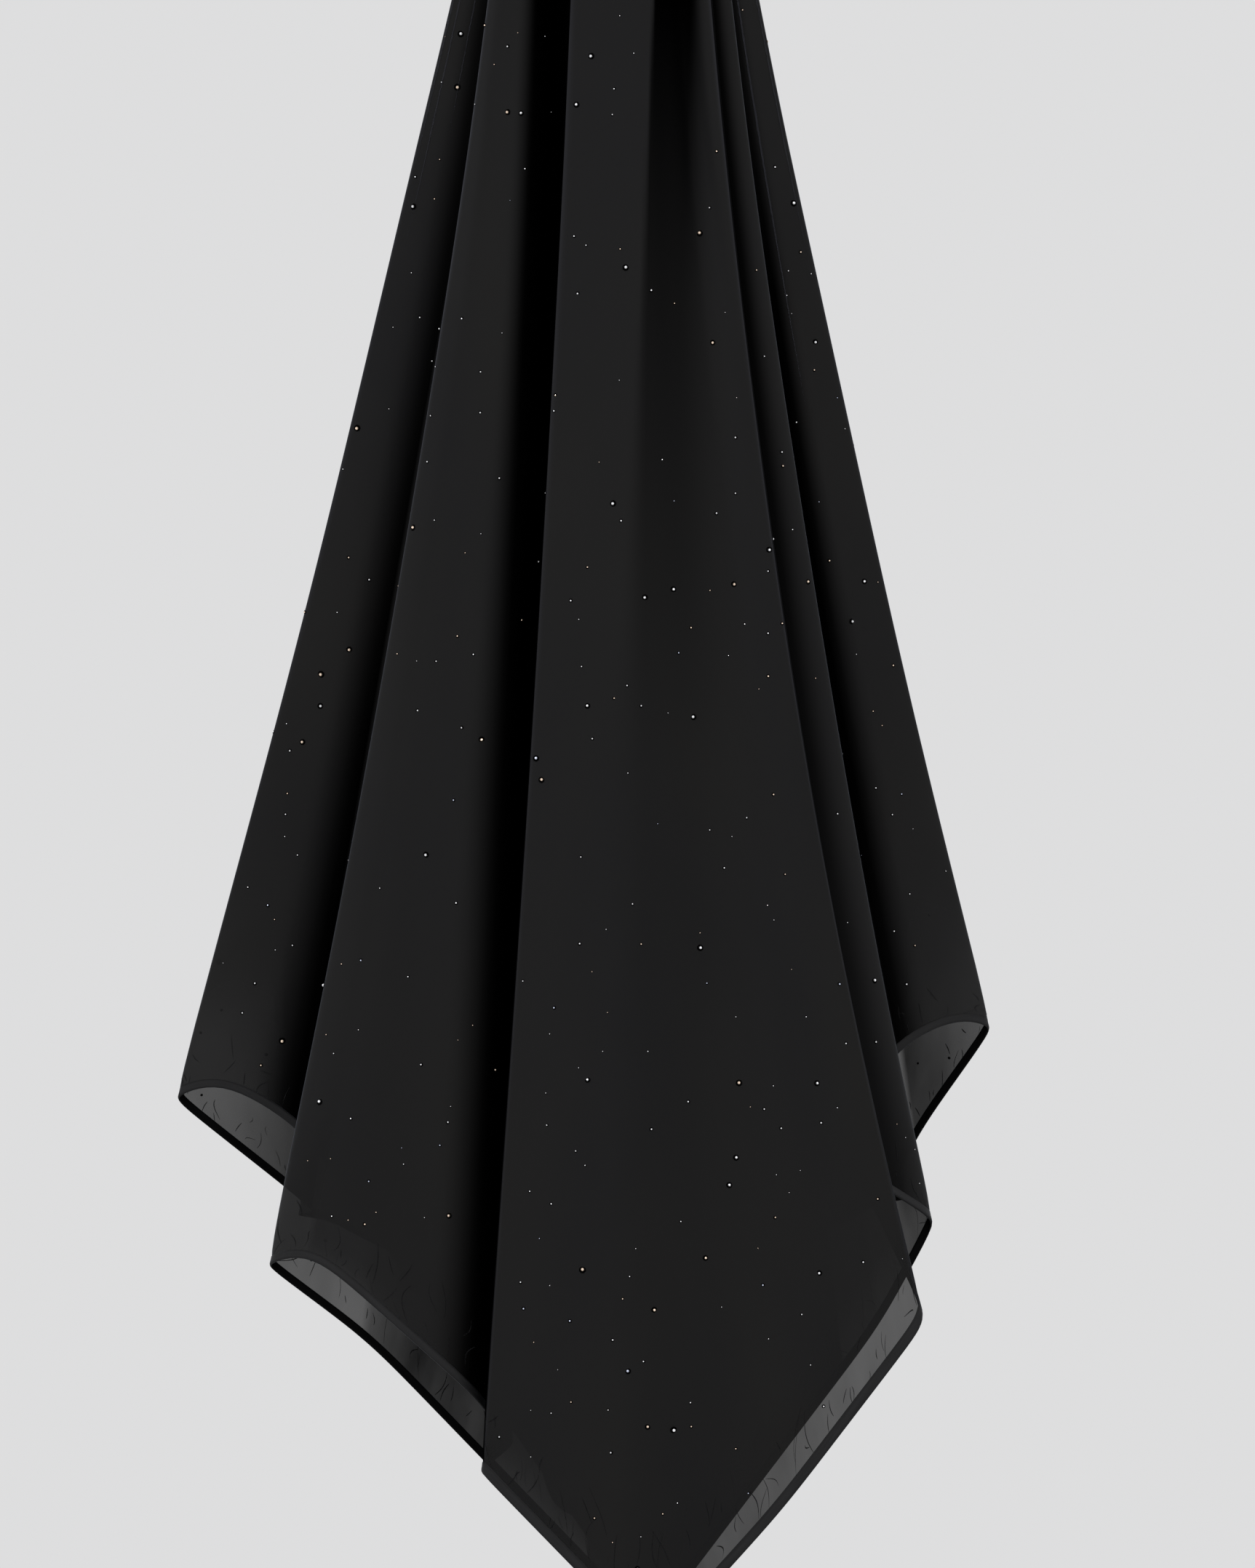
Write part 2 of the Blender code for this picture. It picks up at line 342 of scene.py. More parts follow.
def along_fold(axis, drop):
    """Place of each fold's edge at its drop: the parabola through its places at the three levels."""
    upper, middle, hem = (column(f"{axis}_{level}") for level in ("upper", "middle", "hem"))
    end = column("hem_drop")
    return (
        upper * (drop - MIDDLE_DROP) * (drop - end) / ((UPPER_DROP - MIDDLE_DROP) * (UPPER_DROP - end))
        + middle * (drop - UPPER_DROP) * (drop - end) / ((MIDDLE_DROP - UPPER_DROP) * (MIDDLE_DROP - end))
        + hem * (drop - UPPER_DROP) * (drop - MIDDLE_DROP) / ((end - UPPER_DROP) * (end - MIDDLE_DROP))
    )


def row_shares():
    """How far down each row of the grid lies, from just under the hold point to the hem."""
    return TOP_SHARE + (1.0 - TOP_SHARE) * np.linspace(0.0, 1.0, ROWS)


def fold_lines(shares):
    """Drop and flat place of every fold's edge on every row.

    drop = mean * share + (hem - mean) * share ** power
    """
    shares = np.asarray(shares, float)[:, None]
    drop = MEAN_HEM_DROP * shares + (column("hem_drop") - MEAN_HEM_DROP) * shares**ROW_POWER
    return drop, np.stack([along_fold("x", drop), along_fold("y", drop)], axis=-1)


def leg_counts():
    """How many grid columns lie between each fold and the next, from how far apart they are at the hem."""
    drop, place = fold_lines([1.0])
    edge = np.concatenate([place[0], drop[0][:, None]], axis=1)
    length = np.linalg.norm(np.roll(edge, -1, axis=0) - edge, axis=1)
    return np.maximum(1, np.round(length / LEG_STEP)).astype(int)


def softened(rows, passes):
    """The rows with each point averaged with its neighbours, as many times as asked."""
    for _ in range(passes):
        rows = 0.25 * np.roll(rows, 1, axis=1) + 0.5 * rows + 0.25 * np.roll(rows, -1, axis=1)
    return rows


def loops(shares):
    """Rows of the cloth, in millimetres, and the grid column of each fold's edge.

    Each row goes from fold to fold, straight between them. Round a fold's edge it is an arc of the fold's
    radius, as long as the turn there, and it rises or falls there at the slopes of the legs beside it.
    The row's points are then averaged with their neighbours a few times, and more often by the hem, where the
    corners of the folds are round.
    """
    drop, place = fold_lines(shares)
    to_last = unit(np.roll(place, 1, axis=1) - place)
    to_next = unit(np.roll(place, -1, axis=1) - place)
    outward = unit(-(to_last + to_next))
    along = unit(to_next - np.sum(to_next * outward, axis=-1, keepdims=True) * outward)
    sweep = 0.5 * np.pi - 0.5 * np.arccos(np.clip(np.sum(to_last * to_next, axis=-1), -1.0, 1.0))
    radius = TIGHTEST_RADIUS + (column("radius") - TIGHTEST_RADIUS) * drop / MEAN_HEM_DROP
    run_last = np.linalg.norm(np.roll(place, 1, axis=1) - place, axis=-1)
    run_next = np.linalg.norm(np.roll(place, -1, axis=1) - place, axis=-1)
    fall_last = (np.roll(drop, 1, axis=1) - drop) / run_last
    fall_next = (np.roll(drop, -1, axis=1) - drop) / run_next
    counts = [FOLD_POINTS if value(fold, "kind") == "fold" else BEND_POINTS for fold in FOLDS]

    arcs = []
    for index, count in enumerate(counts):
        spread = np.linspace(-1.0, 1.0, count) if count > 1 else np.zeros(1)
        turn = spread[None, :] * sweep[:, index, None]
        inward, sideways = (np.cos(turn) - 1.0)[..., None], np.sin(turn)[..., None]
        reach = inward * outward[:, None, index] + sideways * along[:, None, index]
        flat = place[:, None, index] + radius[:, index, None, None] * reach
        round_edge = radius[:, index, None] * turn
        fall = np.where(turn < 0.0, -fall_last[:, index, None], fall_next[:, index, None]) * round_edge
        arcs.append(np.concatenate([flat, (drop[:, index, None] + fall)[..., None]], axis=-1))

    blocks, edges, here = [], {}, 0
    for index, legs in enumerate(leg_counts()):
        arc, following = arcs[index], arcs[(index + 1) % len(arcs)]
        edges[value(FOLDS[index], "name")] = here + counts[index] // 2
        steps = (np.arange(1, legs + 1) / (legs + 1))[None, :, None]
        leg = arc[:, -1:] + steps * (following[:, :1] - arc[:, -1:])
        blocks += [arc, leg]
        here += counts[index] + int(legs)
    rows = np.concatenate(blocks, axis=1)
    rows = softened(rows, SOFTENING_PASSES)
    near_hem = np.clip((np.asarray(shares, float) - HEM_SHARE) / (1.0 - HEM_SHARE), 0.0, 1.0) ** 2
    rows = rows + near_hem[:, None, None] * (softened(rows, HEM_PASSES) - rows)
    return crowned(rows), edges


def crowned(rows):
    """The rows drawn in near the hold point, where the folds fade into a round section that closes above."""
    flat, drop = rows[..., :2], rows[..., 2]
    angle = np.linspace(0.0, 2.0 * np.pi, rows.shape[1], endpoint=False)
    rise = np.clip(drop / CROWN_DROP, 0.0, 1.0)
    closing = (1.0 - (1.0 - rise) ** CROWN_POWER)[..., None]
    below = np.clip((drop - SMOOTH_DROP) / (CROWN_DROP - SMOOTH_DROP), 0.0, 1.0)
    gather = (below**2 * (3.0 - 2.0 * below))[..., None]
    circle = -np.stack([np.sin(angle), np.cos(angle)], axis=-1)
    smooth = (CROWN_RADIUS + CROWN_SLOPE * drop)[..., None] * circle
    return np.concatenate([closing * (gather * flat + (1.0 - gather) * smooth), -drop[..., None]], axis=-1)


def normals_of(grid):
    """Outward normals of a grid that closes round its columns, from its differences across and down."""
    across = np.roll(grid, -1, axis=1) - np.roll(grid, 1, axis=1)
    down = np.gradient(grid, axis=0)
    return unit(np.cross(across, down))


# Soft waves on the cloth: how many run round the whole scarf, how many down it, height in millimetres, phase.
WAVES = (
    (17.0, 0.7, 0.50, 0.3),
    (29.0, 1.3, 0.35, 1.9),
    (43.0, 0.9, 0.25, 4.1),
    (61.0, 2.1, 0.16, 2.6),
)


def cloth_grid(shares):
    """Rows of the cloth in metres with its soft waves, sines round the scarf that drift as they go down."""
    grid, edges = loops(shares)
    length = np.cumsum(np.linalg.norm(np.diff(grid[-1], axis=0, append=grid[-1][:1]), axis=1))
    around = 2.0 * np.pi * (length / length[-1])[None, :]
    share = np.asarray(shares, float)[:, None]
    wave = sum(
        height * np.sin(count * around + 2.0 * np.pi * turns * share + phase)
        for count, turns, height, phase in WAVES
    )
    fade = np.clip(share / 0.3, 0.0, 1.0) ** 2 * np.clip((1.0 - share) / 0.06, 0.0, 1.0) ** 0.5
    grid = grid + (wave * fade)[..., None] * normals_of(grid)
    return grid * MM, edges


def flat_places(grid, edges, side):
    """Where each grid point lies on the square laid flat, in metres from its middle.

    A column's hem point lies on the square's edge, as far between two corners as it is along the hem. The
    column's other points lie on the straight line from the middle to it, as far as they are down the column.
    """
    count = grid.shape[1]
    step = np.linalg.norm(np.roll(grid[-1], -1, axis=0) - grid[-1], axis=1)
    corners = np.array([(0.5, -0.5), (-0.5, -0.5), (-0.5, 0.5), (0.5, 0.5)]) * side
    hem = np.zeros((count, 2))
    for index, (_, start, end) in enumerate(HEMS):
        picked = between_folds(edges, count, start, end)
        run = np.concatenate([[0.0], np.cumsum(step[picked[:-1]])])
        share = (run / run[-1])[:, None]
        hem[picked] = corners[index] + share * (corners[(index + 1) % 4] - corners[index])
    down = np.concatenate([grid[:1] * 0.0, grid])
    run = np.cumsum(np.linalg.norm(np.diff(down, axis=0), axis=2), axis=0)
    return (run / run[-1])[..., None] * hem[None]


def add_piece(name, vertices, faces, materials, smooth=True):
    """A mesh object from arrays, shaded smooth or flat."""
    mesh = bpy.data.meshes.new(name)
    mesh.from_pydata(np.asarray(vertices).tolist(), [], [tuple(face) for face in faces])
    for material in materials:
        mesh.materials.append(material)
    mesh.polygons.foreach_set("use_smooth", np.full(len(mesh.polygons), smooth))
    mesh.validate()
    mesh.update()
    piece = bpy.data.objects.new(name, mesh)
    bpy.context.scene.collection.objects.link(piece)
    return piece


def new_material(name, colour, roughness):
    """A material with its Principled shader's plain values, its nodes and its links."""
    material = bpy.data.materials.new(name)
    material.use_nodes = True
    nodes, links = material.node_tree.nodes, material.node_tree.links
    shader = nodes["Principled BSDF"]
    shader.inputs["Base Color"].default_value = (*colour, 1.0)
    shader.inputs["Roughness"].default_value = roughness
    return material, shader, nodes, links


def math_node(nodes, links, operation, first, second):
    """A Math node whose inputs are sockets or numbers."""
    node = nodes.new("ShaderNodeMath")
    node.operation = operation
    for socket, given in zip(node.inputs, (first, second)):
        if isinstance(given, (int, float)):
            socket.default_value = given
        else:
            links.new(given, socket)
    return node.outputs[0]


def mix_node(nodes, links, factor, first, second):
    """A colour Mix node whose colours are sockets or plain values."""
    node = nodes.new("ShaderNodeMix")
    node.data_type = "RGBA"
    links.new(factor, node.inputs["Factor"])
    for socket, given in ((node.inputs["A"], first), (node.inputs["B"], second)):
        if isinstance(given, bpy.types.NodeSocket):
            links.new(given, socket)
        else:
            socket.default_value = (*given, 1.0)
    return node.outputs["Result"]


def attribute_output(nodes, name):
    """The value of a number that the mesh holds at its vertices."""
    node = nodes.new("ShaderNodeAttribute")
    node.attribute_name = name
    return node.outputs["Fac"]


def uv_output(nodes, name):
    """The places that a UV layer holds."""
    node = nodes.new("ShaderNodeUVMap")
    node.uv_map = name
    return node.outputs["UV"]


def noise_node(nodes, links, coordinates, scale, stretch=(1.0, 1.0, 1.0), detail=2.0):
    """A noise that reads the coordinates, stretched by a Mapping node."""
    mapping = nodes.new("ShaderNodeMapping")
    mapping.inputs["Scale"].default_value = stretch
    links.new(coordinates, mapping.inputs["Vector"])
    noise = nodes.new("ShaderNodeTexNoise")
    noise.inputs["Scale"].default_value = scale
    noise.inputs["Detail"].default_value = detail
    links.new(mapping.outputs["Vector"], noise.inputs["Vector"])
    return noise.outputs["Fac"]


def chiffon_material(look, side):
    """Sheer black cloth with a crepe grain, denser where it is gathered, with painted shade in its hollows
    and painted highlights on its fold edges.
    """
    material, shader, nodes, links = new_material("chiffon_black", look.chiffon, 0.62)
    shader.inputs["Specular IOR Level"].default_value = 0.09
    shader.inputs["Sheen Weight"].default_value = 0.18
    shader.inputs["Sheen Roughness"].default_value = 0.30
    shader.inputs["Sheen Tint"].default_value = (0.72, 0.82, 1.0, 1.0)
    flat = uv_output(nodes, "laid_flat")

    patches = noise_node(nodes, links, flat, 9.0, detail=1.0)
    mix = mix_node(nodes, links, patches, look.chiffon, look.chiffon_warm)
    hollow_shade = attribute_output(nodes, "hollow_shade")
    # Painted highlight: the rim colour laid on the folds' edges where they catch the light.
    with_rim_highlight = mix_node(nodes, links, attribute_output(nodes, "rim_highlight"), mix, look.rim_highlight)
    # Painted shade: the hollows darkened to near black, with less specular and sheen below.
    shade = mix_node(nodes, links, hollow_shade, with_rim_highlight, (0.0003, 0.0003, 0.0003))
    links.new(shade, shader.inputs["Base Color"])
    out_of_shade = math_node(nodes, links, "SUBTRACT", 1.0, hollow_shade)
    links.new(math_node(nodes, links, "MULTIPLY", out_of_shade, 0.09), shader.inputs["Specular IOR Level"])
    links.new(math_node(nodes, links, "MULTIPLY", out_of_shade, 0.18), shader.inputs["Sheen Weight"])

    cloudy = noise_node(nodes, links, flat, 30.0, detail=3.0)
    unevenness = math_node(nodes, links, "MULTIPLY", math_node(nodes, links, "SUBTRACT", cloudy, 0.5), 0.07)
    extra = look.high_cover - look.cover
    gain = math_node(nodes, links, "MULTIPLY", attribute_output(nodes, "gathered"), extra)
    cover = math_node(nodes, links, "ADD", math_node(nodes, links, "ADD", gain, look.cover), unevenness)
    # Painted shade also makes the cloth denser.
    cover = math_node(nodes, links, "ADD", cover, math_node(nodes, links, "MULTIPLY", hollow_shade, 0.15))
    links.new(math_node(nodes, links, "MINIMUM", cover, 1.0), shader.inputs["Alpha"])

    grain = noise_node(nodes, links, flat, 1900.0 * side, detail=1.0)
    bump = nodes.new("ShaderNodeBump")
    bump.inputs["Strength"].default_value = 0.25
    bump.inputs["Distance"].default_value = 0.0001
    links.new(grain, bump.inputs["Height"])
    links.new(bump.outputs["Normal"], shader.inputs["Normal"])
    return material


def hem_material(look):
    """Rolled layers of the chiffon: uneven along the roll, with painted shade at its lower edge, under its
    upper one and on its inner side.
    """
    material, shader, nodes, links = new_material("hem_black", look.hem, 0.55)
    shader.inputs["Sheen Roughness"].default_value = 0.30
    shader.inputs["Sheen Tint"].default_value = (0.72, 0.82, 1.0, 1.0)
    along = uv_output(nodes, "along_hem")
    runs = noise_node(nodes, links, along, 55.0, (1.0, 0.05, 1.0), detail=3.0)
    dark = tuple(0.35 * channel for channel in look.hem)
    light = tuple(1.7 * channel for channel in look.hem)
    outer = mix_node(nodes, links, runs, dark, light)
    # Painted shade: the inner side of the roll, facing into the folds, is near black with less specular and
    # sheen.
    faint = tuple(0.5 * channel for channel in look.hem)
    inner_shade = mix_node(nodes, links, runs, (0.0002, 0.0002, 0.0002), faint)
    inner = attribute_output(nodes, "inner")
    mixed = mix_node(nodes, links, inner, outer, inner_shade)
    unshaded_shine = math_node(nodes, links, "SUBTRACT", 1.0, math_node(nodes, links, "MULTIPLY", inner, 0.85))
    links.new(math_node(nodes, links, "MULTIPLY", unshaded_shine, 0.20), shader.inputs["Specular IOR Level"])
    links.new(math_node(nodes, links, "MULTIPLY", unshaded_shine, 0.13), shader.inputs["Sheen Weight"])
    # Painted shade: black lines at the roll's lower edge and under its upper edge.
    split = nodes.new("ShaderNodeSeparateXYZ")
    links.new(along, split.inputs["Vector"])
    across = split.outputs["Y"]
    to_line = math_node(nodes, links, "ABSOLUTE", math_node(nodes, links, "SUBTRACT", across, 0.88), 0.0)
    upper = math_node(nodes, links, "SUBTRACT", 0.7, math_node(nodes, links, "MULTIPLY", to_line, 7.0))
    lower = math_node(nodes, links, "SUBTRACT", 1.0, math_node(nodes, links, "MULTIPLY", across, 6.5))
    line = math_node(nodes, links, "MAXIMUM", math_node(nodes, links, "MAXIMUM", upper, lower), 0.0)
    links.new(mix_node(nodes, links, line, mixed, (0.001, 0.001, 0.001)), shader.inputs["Base Color"])
    bump = nodes.new("ShaderNodeBump")
    bump.inputs["Strength"].default_value = 0.3
    bump.inputs["Distance"].default_value = 0.0002
    links.new(noise_node(nodes, links, along, 900.0, detail=2.0), bump.inputs["Height"])
    links.new(bump.outputs["Normal"], shader.inputs["Normal"])
    return material


SHADE_LEVELS = (UPPER_DROP, 245.0, MIDDLE_DROP, 620.0)

# Painted shade beside a fold's edge, as seen from the front: first and last fold of the face that it lies on,
# the fold that throws it, then at the four levels how wide it is black, how far it fades, and how deep it is.
SHADED_FACES = (
    (
        "middle_left", "left_one", "middle_left",
        (13.0, 12.0, 9.0, 5.0), (8.0, 10.0, 18.0, 21.0), (1.0, 1.0, 1.0, 1.0),
    ),
    (
        "left_two_face", "left_two", "left_one",
        (0.5, 1.0, 2.0, 2.0), (9.0, 13.0, 19.0, 22.0), (0.8, 0.9, 1.0, 1.0),
    ),
    (
        "right_two", "middle_right", "middle_right",
        (1.0, 1.2, 1.0, 0.5), (6.0, 9.0, 14.0, 16.0), (0.95, 0.95, 0.85, 0.6),
    ),
    (
        "right_three", "right_three_face", "right_two",
        (0.6, 2.2, 2.5, 1.5), (4.0, 8.0, 14.0, 15.0), (0.8, 1.0, 1.0, 0.9),
    ),
)

# Painted shade in the soft trough of the middle panel, at the four levels: where its left edge lies, how soft
# that edge is, how wide the trough is black, how far it fades to the right, and how deep it is.
TROUGH_SHADE = (
    (17.1, 12.7, 6.0, 6.0),
    (0.8, 3.5, 16.0, 16.0),
    (14.5, 14.0, 20.0, 20.0),
    (6.0, 18.0, 40.0, 40.0),
    (1.0, 0.62, 0.16, 0.08),
)

# Folds whose edges catch the light, and how strongly: the highlight is painted into the cloth's colour.
RIM_HIGHLIGHTS = (
    ("middle_left", 0.30), ("left_one", 0.95), ("left_two", 0.60),
    ("middle_right", 0.50), ("right_two", 0.80), ("right_three", 0.60),
    ("crest_0", 0.5), ("crest_1", 0.5), ("crest_2", 0.5), ("corner_back", 0.5),
    ("crest_4", 0.5), ("crest_5", 0.5), ("crest_6", 0.5),
)
RIM_HIGHLIGHT_WIDTH = 1.0

# The crown has no painted shade or painted rim highlights down to the first share of the rows, and all of
# them after the second one.
SHADE_SHARES = (0.04, 0.20)

# How far above the hem, in millimetres, the layers start to lie together and where they all do: in general,
# and from one fold to another.
GATHER_RISE = (25.0, 130.0)
GATHER_RISES = (
    ("left_one_face", "left_one", 25.0, 70.0),
    ("valley_lip", "left_one_face", 1.0, 10.0),
    ("left_two_face", "left_two", 6.0, 60.0),
    ("right_three", "right_three_face", 6.0, 60.0),
    ("right_two", "valley_right", 6.0, 40.0),
    ("middle_right", "corner_front", 26.0, 44.0),
    ("corner_front", "middle_left", 14.0, 19.0),
)

# Places by the hem where layers lie together: first fold, last fold, amount, and the x in millimetres where
# it starts, is full, falls and is gone.
GATHERED = (
    ("left_one_back", "corner_left", 1.08, -121.0, -77.0, -50.5, -45.0),
    ("left_two", "left_two_back", 0.85, -168.0, -126.0, 0.0, 1.0),
    ("right_three_turn", "right_three", 0.95, 168.0, 122.0, 0.0, -1.0),
    ("corner_right", "right_two_back", 0.95, 400.0, 300.0, -400.0, -401.0),
    ("right_two_back", "right_two", 0.75, 400.0, 300.0, -400.0, -401.0),
    ("middle_right", "corner_front", 0.38, 108.0, 50.0, -400.0, -401.0),
)


def between_folds(edges, count, first, last):
    """Columns from one fold to another, in order round the loop."""
    start, end = edges[first], edges[last]
    end += count if end <= start else 0
    return np.arange(start, end + 1) % count


def soft_step(values):
    """A smooth step from 0 to 1 as the values go from 0 to 1."""
    clipped = np.clip(values, 0.0, 1.0)
    return clipped**2 * (3.0 - 2.0 * clipped)


def shade_of(distance, black, fade):
    """Shade at a distance from its edge: full over the black width, then gone over the fade."""
    return np.where(distance < 0.0, 1.0, 1.0 - soft_step((distance - black) / fade))


def shade_gather_and_rims(grid, edges, shares):
    """How much painted shade each grid point has, how much its layer is gathered and how much painted rim
    highlight it has.
    """
    rows, count = grid.shape[:2]
    x, drop = grid[..., 0] / MM, -grid[..., 2] / MM
    top = soft_step((np.asarray(shares)[:, None] - SHADE_SHARES[0]) / (SHADE_SHARES[1] - SHADE_SHARES[0]))

    def at_level(values):
        return np.interp(drop, SHADE_LEVELS, values)

    hollow_shade = np.zeros((rows, count))
    for first, last, thrower, black, fade, depth in SHADED_FACES:
        face = between_folds(edges, count, first, last)
        edge = edges[thrower]
        edge_x = np.interp(drop, drop[:, edge], x[:, edge])
        distance = np.abs(x - edge_x)
        shade = at_level(depth) * shade_of(distance, at_level(black), at_level(fade))
        hollow_shade[:, face] = np.maximum(hollow_shade[:, face], shade[:, face])
    # Painted shade: the dark valley beside the middle panel's left edge is black all the way down.
    valley = between_folds(edges, count, "middle_left", "valley_lip")
    hollow_shade[:, valley[3:]] = 1.0
    left, edge_fade, black, fade, depth = (at_level(values) for values in TROUGH_SHADE)
    trough_shade = depth * soft_step((x - left) / edge_fade + 0.5) * shade_of(x - left, black, fade)
    panel = between_folds(edges, count, "middle_right", "middle_left")
    hollow_shade[:, panel] = np.maximum(hollow_shade[:, panel], trough_shade[:, panel])

    length = np.linalg.norm(np.diff(grid, axis=0, append=grid[-1:]), axis=2) / MM
    to_hem = np.cumsum(length[::-1], axis=0)[::-1]
    gathered = soft_step((to_hem - GATHER_RISE[0]) / (GATHER_RISE[1] - GATHER_RISE[0]))
    for first, last, start, full in GATHER_RISES:
        face = between_folds(edges, count, first, last)
        rise = soft_step((to_hem[:, face] - start) / (full - start))
        gathered[:, face] = np.maximum(gathered[:, face], rise)
    for first, last, amount, start, full, fall, gone in GATHERED:
        inside = between_folds(edges, count, first, last)
        place = x[-1, inside]
        started = soft_step((place - start) / (full - start))
        at_hem = started * (1.0 - soft_step((place - fall) / (gone - fall)))
        gathered[:, inside] = np.maximum(gathered[:, inside], amount * at_hem[None])

    step = np.linalg.norm(np.roll(grid, -1, axis=1) - grid, axis=2) / MM
    run = np.cumsum(step, axis=1)
    rim_highlight = np.zeros((rows, count))
    for name, strength in RIM_HIGHLIGHTS:
        away = (run - run[:, edges[name], None]) / RIM_HIGHLIGHT_WIDTH
        rim_highlight = np.maximum(rim_highlight, strength * np.exp(-(away**2)))
    return hollow_shade * top, gathered, rim_highlight * top


def add_numbers(piece, name, values):
    """Numbers held at the mesh's vertices."""
    layer = piece.data.attributes.new(name, "FLOAT", "POINT")
    layer.data.foreach_set("value", np.asarray(values, np.float32))


def hem_widths(grid, edges, cut):
    """The hem's width at each column, which is less in the side folds, where it curls more."""
    count = grid.shape[1]
    share = np.full(count, cut.folded_hem)
    share[between_folds(edges, count, "middle_right", "middle_left")] = cut.panel_hem
    for _ in range(6):
        share = 0.25 * np.roll(share, 1) + 0.5 * share + 0.25 * np.roll(share, -1)
    return share * cut.hem_width


def make_cloth(cut, look):
    """The square as one sheer sheet, its grid closed round the folds and drawn to a point at the hold."""
    shares = row_shares()
    grid, edges = cloth_grid(shares)
    hollow_shade, gathered, rim_highlight = shade_gather_and_rims(grid, edges, shares)
    up, _ = hem_frame(grid)
    grid[-1] = grid[-1] + 0.6 * hem_widths(grid, edges, cut)[:, None] * up
    rows, count = grid.shape[:2]
    vertices = np.concatenate([np.zeros((1, 3)), grid.reshape(-1, 3)])
    here = np.arange(count)
    after = (here + 1) % count
    row = 1 + count * np.arange(rows - 1)[:, None]
    quads = np.stack([row + here, row + after, row + count + after, row + count + here], axis=-1)
    crown = np.column_stack([np.zeros(count, int), 1 + after, 1 + here])
    faces = crown.tolist() + quads.reshape(-1, 4).tolist()
    piece = add_piece("chiffon_square", vertices, faces, [chiffon_material(look, cut.side)])

    flat = flat_places(grid, edges, cut.side) / cut.side + 0.5
    places = np.concatenate([[[0.5, 0.5]], flat.reshape(-1, 2)])
    index = np.empty(len(piece.data.loops), np.int32)
    piece.data.loops.foreach_get("vertex_index", index)
    layer = piece.data.uv_layers.new(name="laid_flat")
    layer.data.foreach_set("uv", places[index].ravel())
    add_numbers(piece, "hollow_shade", np.concatenate([[0.0], hollow_shade.ravel()]))
    add_numbers(piece, "gathered", np.concatenate([[1.0], gathered.ravel()]))
    add_numbers(piece, "rim_highlight", np.concatenate([[0.0], rim_highlight.ravel()]))
    return piece


def hem_frame(grid):
    """Way up the cloth from the hem, lengthened where the hem slants, and the inward normals."""
    hem, above = grid[-1], grid[-4]
    up = unit(above - hem)
    along = unit(np.roll(hem, -1, axis=0) - np.roll(hem, 1, axis=0))
    sine = np.linalg.norm(np.cross(along, up), axis=-1, keepdims=True)
    normal = unit(np.cross(along, up))
    return up / np.clip(sine, 0.6, 1.0), normal


# The rolled hem's section: places across it as shares of its width and half thickness, from its lower edge.
HEM_SECTION = (
    (0.00, 0.00), (0.04, 0.62), (0.16, 1.00), (0.34, 0.95), (0.60, 0.70), (0.82, 0.62), (0.95, 0.50),
    (1.00, 0.00), (0.95, -0.50), (0.82, -0.62), (0.60, -0.70), (0.34, -0.95), (0.16, -1.00), (0.04, -0.62),
)


def make_hem(node, start, end, cut, look, material):
    """One side's rolled hem: its section carried along the cloth's edge from corner to corner."""
    shares = row_shares()
    grid, edges = cloth_grid(shares)
    up, normal = hem_frame(grid)
    picked = between_folds(edges, grid.shape[1], start, end)
    width = hem_widths(grid, edges, cut)[picked][:, None, None]
    section = np.array(HEM_SECTION)
    rise = section[:, 0, None] * width
    out = section[:, 1, None] * 0.5 * cut.hem_thickness
    points = grid[-1][picked][:, None] + rise * up[picked][:, None] + out[None] * normal[picked][:, None]
    length, sides = points.shape[:2]
    here = np.arange(sides)
    after = (here + 1) % sides
    ring = sides * np.arange(length - 1)[:, None]
    quads = np.stack([ring + here, ring + after, ring + sides + after, ring + sides + here], axis=-1)
    caps = [here[::-1].tolist(), (sides * (length - 1) + here).tolist()]
    piece = add_piece(f"{node}_roll", points.reshape(-1, 3), quads.reshape(-1, 4).tolist() + caps, [material])

    run = np.concatenate([[0.0], np.cumsum(np.linalg.norm(np.diff(grid[-1][picked], axis=0), axis=1))])
    places = np.stack(np.broadcast_arrays(run[:, None], section[None, :, 0]), axis=-1).reshape(-1, 2)
    index = np.empty(len(piece.data.loops), np.int32)
    piece.data.loops.foreach_get("vertex_index", index)
    layer = piece.data.uv_layers.new(name="along_hem")
    layer.data.foreach_set("uv", places[index].ravel())
    add_numbers(piece, "inner", np.tile(section[:, 1] > 0.0, length))
    return piece


def scatter(grid, hollow_shade, cut, draw):
    """Places on the cloth and the normals there, evenly for each area but few where painted shade lies in its
    hollows.

    A place that lies near an earlier one is left out.
    """
    rows, count = grid.shape[:2]
    after = np.roll(grid, -1, axis=1)
    area = np.linalg.norm(np.cross(after[:-1] - grid[:-1], grid[1:] - grid[:-1]), axis=-1)
    area *= 1.0 - 0.93 * soft_step((hollow_shade[:-1] - 0.25) / 0.5)
    area[: rows // 14] = 0.0
    area[-2:] = 0.0
    cell = draw.choice(area.size, size=2 * cut.stones, p=area.ravel() / area.sum())
    row, col = np.unravel_index(cell, area.shape)
    a, b = draw.random((2, len(cell), 1))
    upper = (1.0 - a) * grid[row, col] + a * after[row, col]
    lower = (1.0 - a) * grid[row + 1, col] + a * after[row + 1, col]
    places = (1.0 - b) * upper + b * lower
    length = np.sum(places**2, axis=1)
    apart = length[:, None] + length[None, :] - 2.0 * places @ places.T
    crowded = np.any(np.tril(apart < cut.stone_spacing**2, k=-1), axis=1)
    kept = np.flatnonzero(~crowded)[: cut.stones]
    return places[kept], normals_of(grid)[row[kept], col[kept]]


# Sections of a stone's setting, whose black also paints its contact shadow, and of the stone, as radius and
# height in shares of the setting's radius.
SETTING_SECTION = ((1.00, -0.04), (0.92, 0.12), (0.64, 0.20))
STONE_SECTION = ((0.40, 0.08), (0.42, 0.32), (0.31, 0.52), (0.14, 0.62))


